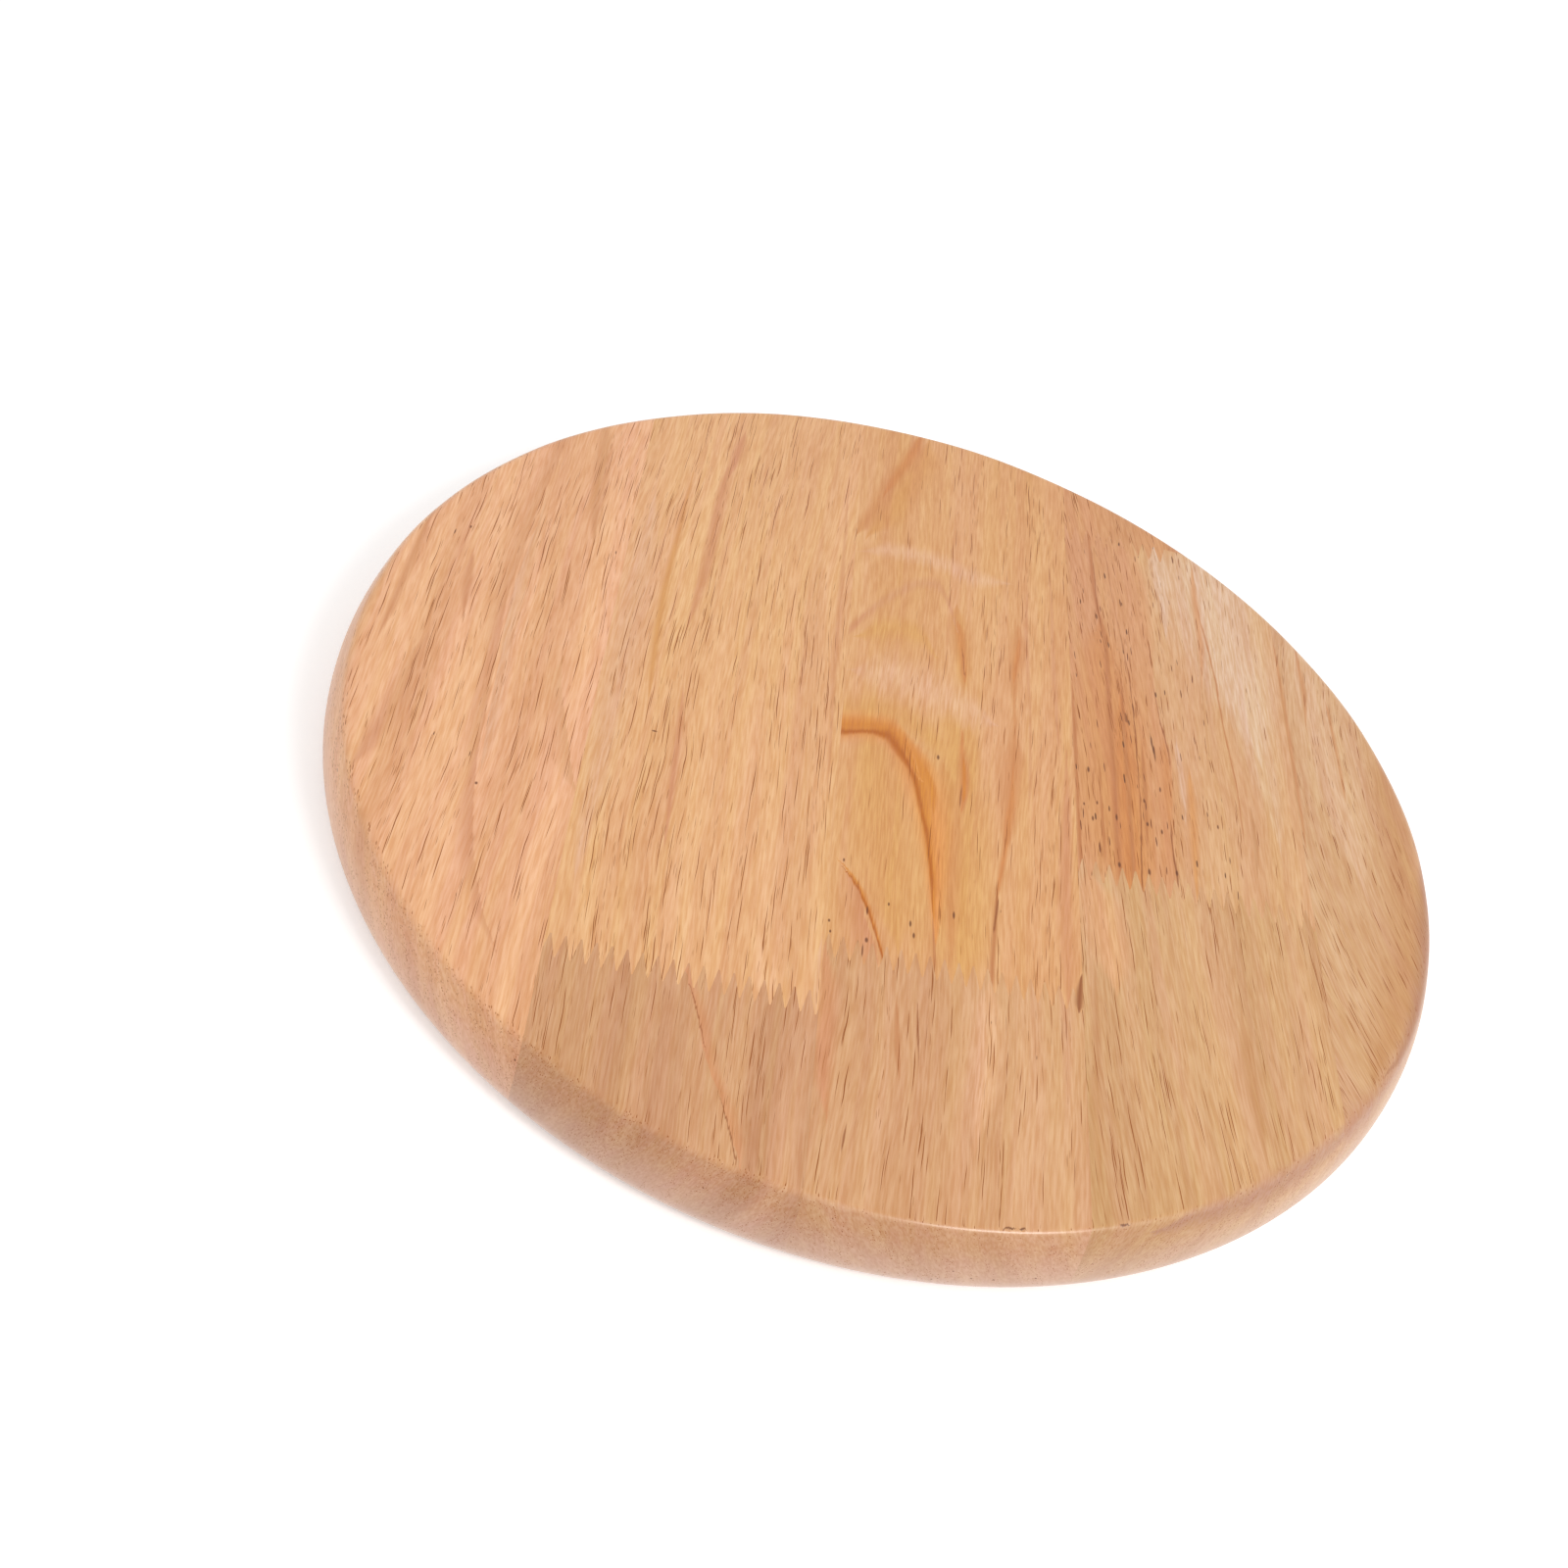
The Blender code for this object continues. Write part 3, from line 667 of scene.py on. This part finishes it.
def addPores(tree, places, chanceScale, pores):
    # A stretched cell pattern: each cell holds one pore, a long thin ellipsoid along the grain
    spacing, length, greatest, share, strength = pores
    scale = (1 / spacing, 1 / length, 1 / spacing)
    cells = addNode(tree, "ShaderNodeVectorMath", {0: places, 1: scale}, operation="MULTIPLY")
    distance = addNode(tree, "ShaderNodeTexVoronoi", {"Vector": cells, "Scale": 1})
    cellValue = addNode(tree, "ShaderNodeSeparateColor", {0: distance.node.outputs["Color"]})
    chance = addNode(tree, "ShaderNodeMath", {0: cellValue, 1: chanceScale}, operation="MULTIPLY")
    size = addNode(tree, "ShaderNodeMapRange", {0: chance, 1: 1 - share, 2: 1 + poreSpread - share,
                                                3: 0, 4: greatest})
    inside = addNode(tree, "ShaderNodeMath", {0: size, 1: distance}, operation="SUBTRACT")
    return addNode(tree, "ShaderNodeMapRange", {0: inside, 1: 0, 2: greatest * poreEdge, 3: 0, 4: strength})


bandSeedStep = (3.1, 1.7, 2.3)
bandRoughness = 0.55


def addBand(tree, places, band, blockSeed):  # uneven bands along the grain
    width, length, depth, detail, seedStep = band
    seed = blockSeed + seedStep
    scale = (1 / width, 1 / length, 1 / depth)
    shift = [step * seed for step in bandSeedStep]
    stretched = addNode(tree, "ShaderNodeVectorMath", {0: places, 1: scale, 2: shift},
                        operation="MULTIPLY_ADD")
    return addNode(tree, "ShaderNodeTexNoise", {"Vector": stretched, "Scale": 1, "Detail": detail,
                                                "Roughness": bandRoughness})


edgeShapes = {  # how a streak's colour falls off, from the low to the high side of its path
    "soft": [(0.0, "000000"), (0.5, "FFFFFF"), (1.0, "000000")],
    "sharpHigh": [(0.0, "000000"), (0.5, "FFFFFF"), (0.54, "000000")],
    "sharpLow": [(0.46, "000000"), (0.5, "FFFFFF"), (1.0, "000000")],
    "below": [(0.5, "FFFFFF"), (0.54, "000000")],
}
streakSpan = 130     # half the span, in mm, over which the curves of the streaks run
streakFade = 0.3     # a streak pales where its half width falls below this, in mm
streakStub = 2       # mm by which a streak's curves run on, at no width, beyond its path


def addStreak(tree, colour, position, key, breakup, streak, isArch):
    # position and key are shares of the span: where the streak lies, and what its path runs along
    tone, edges, path = streak
    points = sorted((x, y, half) if isArch else (y, x, half) for x, y, half in path)
    (first, start), (last, end) = points[0][:2], points[-1][:2]
    points[:1] = [(first - streakStub, start, 0), (first, start, 0)]
    points[-1:] = [(last, end, 0), (last + streakStub, end, 0)]
    middles = [(0.5 + p[0] / streakSpan / 2, 0.5 + p[1] / streakSpan / 2) for p in points]
    halves = [(0.5 + p[0] / streakSpan / 2, p[2] / streakSpan / 2) for p in points]
    middle = addNode(tree, "ShaderNodeFloatCurve", {1: key}, curve=middles)
    half = addNode(tree, "ShaderNodeFloatCurve", {1: key}, curve=halves)
    offset = addNode(tree, "ShaderNodeMath", {0: position, 1: middle}, operation="SUBTRACT")
    ratio = addNode(tree, "ShaderNodeMath", {0: offset, 1: half}, operation="DIVIDE")
    centred = addNode(tree, "ShaderNodeMath", {0: ratio, 1: 0.5, 2: 0.5}, operation="MULTIPLY_ADD",
                      use_clamp=True)
    weight = addNode(tree, "ShaderNodeValToRGB", {0: centred}, ramp=edgeShapes[edges])
    weight.node.color_ramp.interpolation = "EASE"
    fade = addNode(tree, "ShaderNodeMapRange", {0: half, 1: 0, 2: streakFade / streakSpan / 2,
                                                3: 0, 4: breakup})
    amount = addNode(tree, "ShaderNodeMath", {0: weight, 1: fade}, operation="MULTIPLY", use_clamp=True)
    return addNode(tree, "ShaderNodeMix", {0: amount, 6: colour, 7: linearColour(figureTones[tone])}, take=2,
                   data_type="RGBA")


def makeWood(name, look, seed):
    material = bpy.data.materials.new("oiledRubberwood_" + name)
    material.use_nodes = True
    tree = material.node_tree
    shader = tree.nodes["Principled BSDF"]
    coordinate = tree.nodes.new("ShaderNodeTexCoord")
    place = addNode(tree, "ShaderNodeVectorMath", {0: coordinate.outputs["Object"], "Scale": 1 / mm},
                    operation="SCALE")
    straightX = addNode(tree, "ShaderNodeSeparateXYZ", {0: place})
    straightY, straightZ = straightX.node.outputs[1], straightX.node.outputs[2]

    # The growth rings step sideways on their way down from the top face
    slanted = addNode(tree, "ShaderNodeMath", {0: straightZ, 1: look["slant"],
                                               2: -look["slant"] * thickness / mm},
                      operation="MULTIPLY_ADD")
    ringX = addNode(tree, "ShaderNodeMath", {0: straightX, 1: slanted})

    # Slow waves of the grain, a mm or two to the side
    seeded = addNode(tree, "ShaderNodeVectorMath", {0: place, 1: [seed * step for step in wood["seedStep"]]})
    waves = addNode(tree, "ShaderNodeVectorMath", {0: seeded, 1: [1 / size for size in wood["waveSize"]]},
                    operation="MULTIPLY")
    wave = addNode(tree, "ShaderNodeTexNoise", {"Vector": waves, "Scale": 1, "Detail": wood["waveDetail"]},
                   take="Color")
    shift = addNode(tree, "ShaderNodeVectorMath", {0: wave, 1: wood["waveShift"],
                                                   2: [-full / 2 for full in wood["waveShift"]]},
                    operation="MULTIPLY_ADD")
    waveX = addNode(tree, "ShaderNodeSeparateXYZ", {0: shift})

    # The lean of the grain, and how it dives into the board
    low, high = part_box(name)
    lean = addNode(tree, "ShaderNodeMapRange", {0: straightX, 1: low.x / mm, 2: high.x / mm,
                                                3: -look["lean"][0], 4: -look["lean"][1]})
    bowed = addNode(tree, "ShaderNodeMath", {0: straightY, 1: -look["bow"], 2: lean},
                    operation="MULTIPLY_ADD")
    leaned = addNode(tree, "ShaderNodeMath", {0: straightY, 1: bowed, 2: ringX}, operation="MULTIPLY_ADD")
    grainX = addNode(tree, "ShaderNodeMath", {0: leaned, 1: waveX})
    dived = addNode(tree, "ShaderNodeMath", {0: straightY, 1: look["dive"], 2: straightZ},
                    operation="MULTIPLY_ADD")
    grainZ = addNode(tree, "ShaderNodeMath", {0: dived, 1: waveX.node.outputs[2]})
    grain = addNode(tree, "ShaderNodeCombineXYZ", {0: grainX, 1: straightY, 2: grainZ})

    # Growth bands, fibres and patches
    band = addBand(tree, grain, wood["growthBand"], seed)
    colour = addNode(tree, "ShaderNodeValToRGB", {0: band},
                     ramp=list(zip(wood["growthStops"], look["tones"])))
    fibre = addBand(tree, grain, wood["fibreBand"], seed)
    drift = addBand(tree, grain, wood["driftBand"], seed)

    # The figure that this block shows: streaks in the board's own places, with fibrous edges
    breakup = addNode(tree, "ShaderNodeMapRange", {0: fibre, **wood["breakup"]})
    frayX, frayY = wood["fray"]
    figureX = addNode(tree, "ShaderNodeMath", {0: fibre, 1: frayX, 2: ringX}, operation="MULTIPLY_ADD")
    figureY = addNode(tree, "ShaderNodeMath", {0: fibre, 1: frayY, 2: straightY}, operation="MULTIPLY_ADD")
    shareX = addNode(tree, "ShaderNodeMapRange", {0: figureX, 1: frayX / 2 - streakSpan,
                                                  2: frayX / 2 + streakSpan, 3: 0, 4: 1})
    shareY = addNode(tree, "ShaderNodeMapRange", {0: figureY, 1: frayY / 2 - streakSpan,
                                                  2: frayY / 2 + streakSpan, 3: 0, 4: 1})
    for streak in look["streaks"]:
        colour = addStreak(tree, colour, shareX, shareY, breakup, streak, False)
    for arch in look.get("arches", []):
        colour = addStreak(tree, colour, shareY, shareX, breakup, arch, True)

    # The darkest single flecks, each one an ellipse at its own place
    for across, along, half, halfLength in look.get("marks", []):
        offset = addNode(tree, "ShaderNodeVectorMath", {0: place, 1: (1 / half, 1 / halfLength, 0),
                                                        2: (-across / half, -along / halfLength, 0)},
                         operation="MULTIPLY_ADD")
        apart = addNode(tree, "ShaderNodeVectorMath", {0: offset}, take="Value", operation="LENGTH")
        mark = addNode(tree, "ShaderNodeMapRange", {0: apart, **wood["markEdge"]})
        colour = addNode(tree, "ShaderNodeMix", {0: mark, 6: colour, 7: linearColour(figureTones["bark"])},
                         take=2, data_type="RGBA")

    driftTone = addNode(tree, "ShaderNodeValToRGB", {0: drift},
                        ramp=list(zip(wood["driftStops"], wood["drift"])))
    fibreTone = addNode(tree, "ShaderNodeValToRGB", {0: fibre},
                        ramp=list(zip(wood["fibreStops"], (wood["fibreTone"], "FFFFFF"))))
    for tone in (driftTone, fibreTone):
        colour = addNode(tree, "ShaderNodeMix", {0: 1, 6: colour, 7: tone}, take=2, data_type="RGBA",
                         blend_type="MULTIPLY")

    # Where the cut crosses the grain the oil sinks in deeper
    facing = addNode(tree, "ShaderNodeSeparateXYZ", {0: coordinate.outputs["Normal"]})
    endGrain = addNode(tree, "ShaderNodeMath", {0: facing.node.outputs[1], 1: facing.node.outputs[1]},
                       operation="MULTIPLY")
    colour = addNode(tree, "ShaderNodeMix", {0: endGrain, 6: colour, 7: linearColour(wood["endGrainTone"])},
                     take=2, data_type="RGBA", blend_type="MULTIPLY")

    # Painted sheen: where the side turns under it is painted paler, standing in for the white floor's
    # reflection, and the flat underside is less so
    upward = facing.node.outputs[2]
    turned = addNode(tree, "ShaderNodeMapRange", {0: upward, **wood["paintedSheenByTurn"]})
    notFlat = addNode(tree, "ShaderNodeMapRange", {0: upward, **wood["notFlat"]})
    under = addNode(tree, "ShaderNodeMath", {0: turned, 1: notFlat}, operation="MULTIPLY")
    colour = addNode(tree, "ShaderNodeMix", {0: under, 6: colour, 7: linearColour(wood["paintedUnderSheen"])}, take=2,
                     data_type="RGBA")

    # Pores, slightly crooked, crowded in some bands and scarce in others
    crook = addBand(tree, grain, wood["crookBand"], seed)
    crooked = addNode(tree, "ShaderNodeVectorMath", {0: crook, 1: (wood["poreCrook"], 0, 0), 2: grain},
                      operation="MULTIPLY_ADD")
    crowd = addBand(tree, grain, wood["crowdBand"], seed)
    crowdShare = addNode(tree, "ShaderNodeMapRange", {0: crowd, **wood["crowding"]})
    across = addNode(tree, "ShaderNodeMapRange", {0: straightX, 1: low.x / mm, 2: high.x / mm,
                                                  3: look["pores"][0], 4: look["pores"][1]})
    poreCrowd = addNode(tree, "ShaderNodeMath", {0: crowdShare, 1: across}, operation="MULTIPLY")
    fleckCrowd = addNode(tree, "ShaderNodeMath", {0: poreCrowd, 1: look["flecks"]}, operation="MULTIPLY")
    endCrowd = addNode(tree, "ShaderNodeMath", {0: endGrain, 1: crowdShare}, operation="MULTIPLY")
    kinds = [("endDots", endCrowd), ("shortPores", poreCrowd), ("longPores", poreCrowd),
             ("flecks", fleckCrowd)]
    if "dashes" in look:
        dashCrowd = addNode(tree, "ShaderNodeMath", {0: across, 1: look["dashes"]}, operation="MULTIPLY")
        kinds.insert(0, ("dashes", dashCrowd))
    for kind, amount in kinds:
        *pores, tone = wood[kind]
        poreMask = addPores(tree, crooked, amount, pores)
        colour = addNode(tree, "ShaderNodeMix", {0: poreMask, 6: colour, 7: linearColour(tone)}, take=2,
                         data_type="RGBA")

    roughness = addNode(tree, "ShaderNodeMapRange", {0: endGrain, 1: 0, 2: 1, 3: wood["roughness"],
                                                     4: wood["endGrainRoughness"]})
    # The flecks, drawn last, are deep enough to stand in the relief
    relief = addNode(tree, "ShaderNodeMath", {0: poreMask, 1: -1, 2: fibre}, operation="MULTIPLY_ADD")
    bump = addNode(tree, "ShaderNodeBump", {"Height": relief, "Strength": wood["relief"],
                                            "Distance": wood["poreDepth"] * mm})
    shader.inputs["Specular IOR Level"].default_value = wood["shine"]
    shader.inputs["Coat Weight"].default_value = wood["coat"]
    if "arrisCoat" in look:  # the near arris is rubbed to a shine
        arris = addNode(tree, "ShaderNodeValToRGB", {0: upward}, ramp=wood["arrisShine"])
        coat = addNode(tree, "ShaderNodeMapRange", {0: arris, 1: 0, 2: 1,
                                                    3: wood["coat"], 4: look["arrisCoat"]})
        tree.links.new(coat, shader.inputs["Coat Weight"])
    shader.inputs["Coat Roughness"].default_value = wood["coatRoughness"]
    tree.links.new(colour, shader.inputs["Base Color"])
    tree.links.new(roughness, shader.inputs["Roughness"])
    tree.links.new(bump, shader.inputs["Normal"])
    return material


for seed, (name, block) in enumerate(blocks.items(), 1):
    block.data.materials.clear()
    block.data.materials.append(makeWood(name, blockLooks[name], seed))
    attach(block, "root")
    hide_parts(name)
print("blocks finished")


# Studio: a white sweep that keeps the board's shadow, soft light from all round and a large lamp
# up at the near right

studio = {
    "floorTone": "F6F6F6",
    "floorSize": 6,         # half its width, in metres
    "floorDrop": 0.1 * mm,  # below the board's underside
    "floorLift": 0.28,      # a glow of its own that only the camera sees, and that lights nothing
    "skyStrength": 0.78,    # where the camera sees the sky, it is pure white
    "lamps": [              # each one's name, power, size and place
        ("keyLamp", 5.0, 0.34, (0.54, -0.67, 0.86)),
    ],
}


def addSeenShare(tree):  # 1 where the camera looks, also by a mirror or through glass, and 0 elsewhere
    share = addNode(tree, "ShaderNodeLightPath", take="Is Camera Ray")
    rays = share.node.outputs
    for kind in ("Is Glossy Ray", "Is Transmission Ray"):
        share = addNode(tree, "ShaderNodeMath", {0: share, 1: rays[kind]}, operation="MAXIMUM")
    return share


def makeStudio():
    bm = bmesh.new()
    bmesh.ops.create_grid(bm, x_segments=1, y_segments=1, size=studio["floorSize"])
    bmesh.ops.translate(bm, vec=(0, 0, -studio["floorDrop"]), verts=bm.verts)
    ground = meshObject("studioFloor", bm)
    material = bpy.data.materials.new("mattWhitePaper")
    material.use_nodes = True
    tree = material.node_tree
    shader = tree.nodes["Principled BSDF"]
    shader.inputs["Base Color"].default_value = linearColour(studio["floorTone"])
    shader.inputs["Roughness"].default_value = 1
    shader.inputs["Specular IOR Level"].default_value = 0
    lift = addNode(tree, "ShaderNodeMath", {0: addSeenShare(tree), 1: studio["floorLift"]},
                   operation="MULTIPLY")
    shader.inputs["Emission Color"].default_value = (1, 1, 1, 1)
    tree.links.new(lift, shader.inputs["Emission Strength"])
    ground.data.materials.append(material)

    world = bpy.data.worlds.new("studioSky")
    bpy.context.scene.world = world
    world.use_nodes = True
    tree = world.node_tree
    strength = addNode(tree, "ShaderNodeMapRange", {0: addSeenShare(tree), 1: 0, 2: 1,
                                                    3: studio["skyStrength"], 4: 1})
    sky = tree.nodes["Background"]
    sky.inputs["Color"].default_value = (1, 1, 1, 1)
    tree.links.new(strength, sky.inputs["Strength"])

    for name, power, size, place in studio["lamps"]:
        lamp = bpy.data.objects.new(name, bpy.data.lights.new(name, "AREA"))
        lamp.data.energy = power
        lamp.data.size = size
        lamp.location = place
        lamp.rotation_mode = "QUATERNION"
        lamp.rotation_quaternion = (-lamp.location).to_track_quat("-Z", "Y")
        bpy.context.scene.collection.objects.link(lamp)


makeStudio()


# The camera looks down over the near rim, a little from the left, rolled so that the right side rises

camera = {
    "place": (-77.35 * mm, -333.01 * mm, 316.31 * mm),
    "aim": (-26.64 * mm, -19.47 * mm, 18 * mm),
    "roll": 19.41,           # degrees
    "lens": 47.26,           # mm
    "clipStart": 10 * mm,
}


def makeCamera():
    made = bpy.data.objects.new("camera", bpy.data.cameras.new("camera"))
    made.data.lens = camera["lens"]
    made.data.clip_start = camera["clipStart"]
    place = Vector(camera["place"])
    made.location = place
    made.rotation_mode = "QUATERNION"
    level = (Vector(camera["aim"]) - place).to_track_quat("-Z", "Y")
    made.rotation_quaternion = level @ Matrix.Rotation(radians(camera["roll"]), 3, "Z").to_quaternion()
    bpy.context.scene.collection.objects.link(made)
    bpy.context.scene.camera = made


makeCamera()
bpy.context.scene.view_settings.view_transform = "Standard"
print("studio and camera ready")
